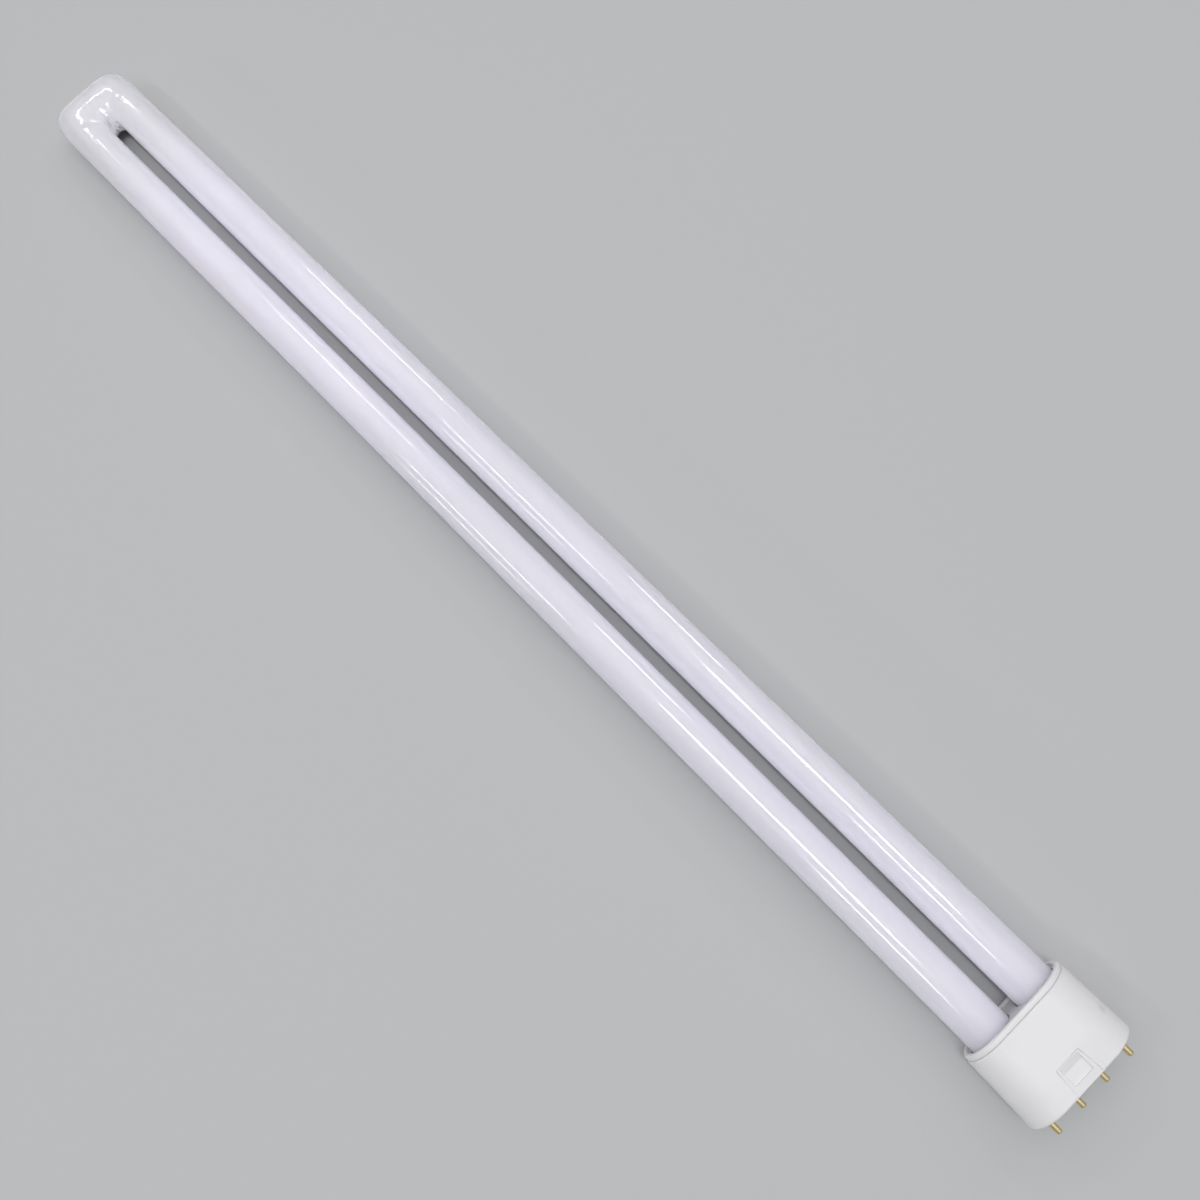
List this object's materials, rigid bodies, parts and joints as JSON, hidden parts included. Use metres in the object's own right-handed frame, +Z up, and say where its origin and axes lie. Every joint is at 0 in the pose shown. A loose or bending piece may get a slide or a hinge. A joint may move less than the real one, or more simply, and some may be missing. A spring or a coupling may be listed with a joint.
{
  "type": "compact fluorescent bulb",
  "caption": "Long twin-tube compact fluorescent bulb: a white glass tube bent into parallel legs, in an oval plastic cap with latch recesses and a row of brass contact pins.",
  "frame": {"origin": "bottom centre of the box round the lamp as it lies on a table", "axes": "+X along the lamp towards the pins, +Y across the two legs, +Z up, out of the broad face that the picture shows"},
  "size_m": [0.5396, 0.0442, 0.0237],
  "materials": {
    "coated_glass": "glossy clear glass over a white inner coating",
    "cap_plastic": "satin moulded plastic",
    "cement": "dull grey bonding cement",
    "pin_brass": "bright drawn brass",
    "wire_metal": "bare nickel-plated wire"
  },
  "bodies": {
    "root": {"discharge_tube": "coated_glass", "cap_shell": "cap_plastic", "cap_cover": "cap_plastic", "cement_ring_1": "cement", "cement_ring_2": "cement", "contact_pin_1": "pin_brass", "contact_pin_2": "pin_brass", "contact_pin_3": "pin_brass", "contact_pin_4": "pin_brass", "lead_wire_1": "wire_metal", "lead_wire_2": "wire_metal", "lead_wire_3": "wire_metal", "lead_wire_4": "wire_metal"}
  },
  "joints": []
}
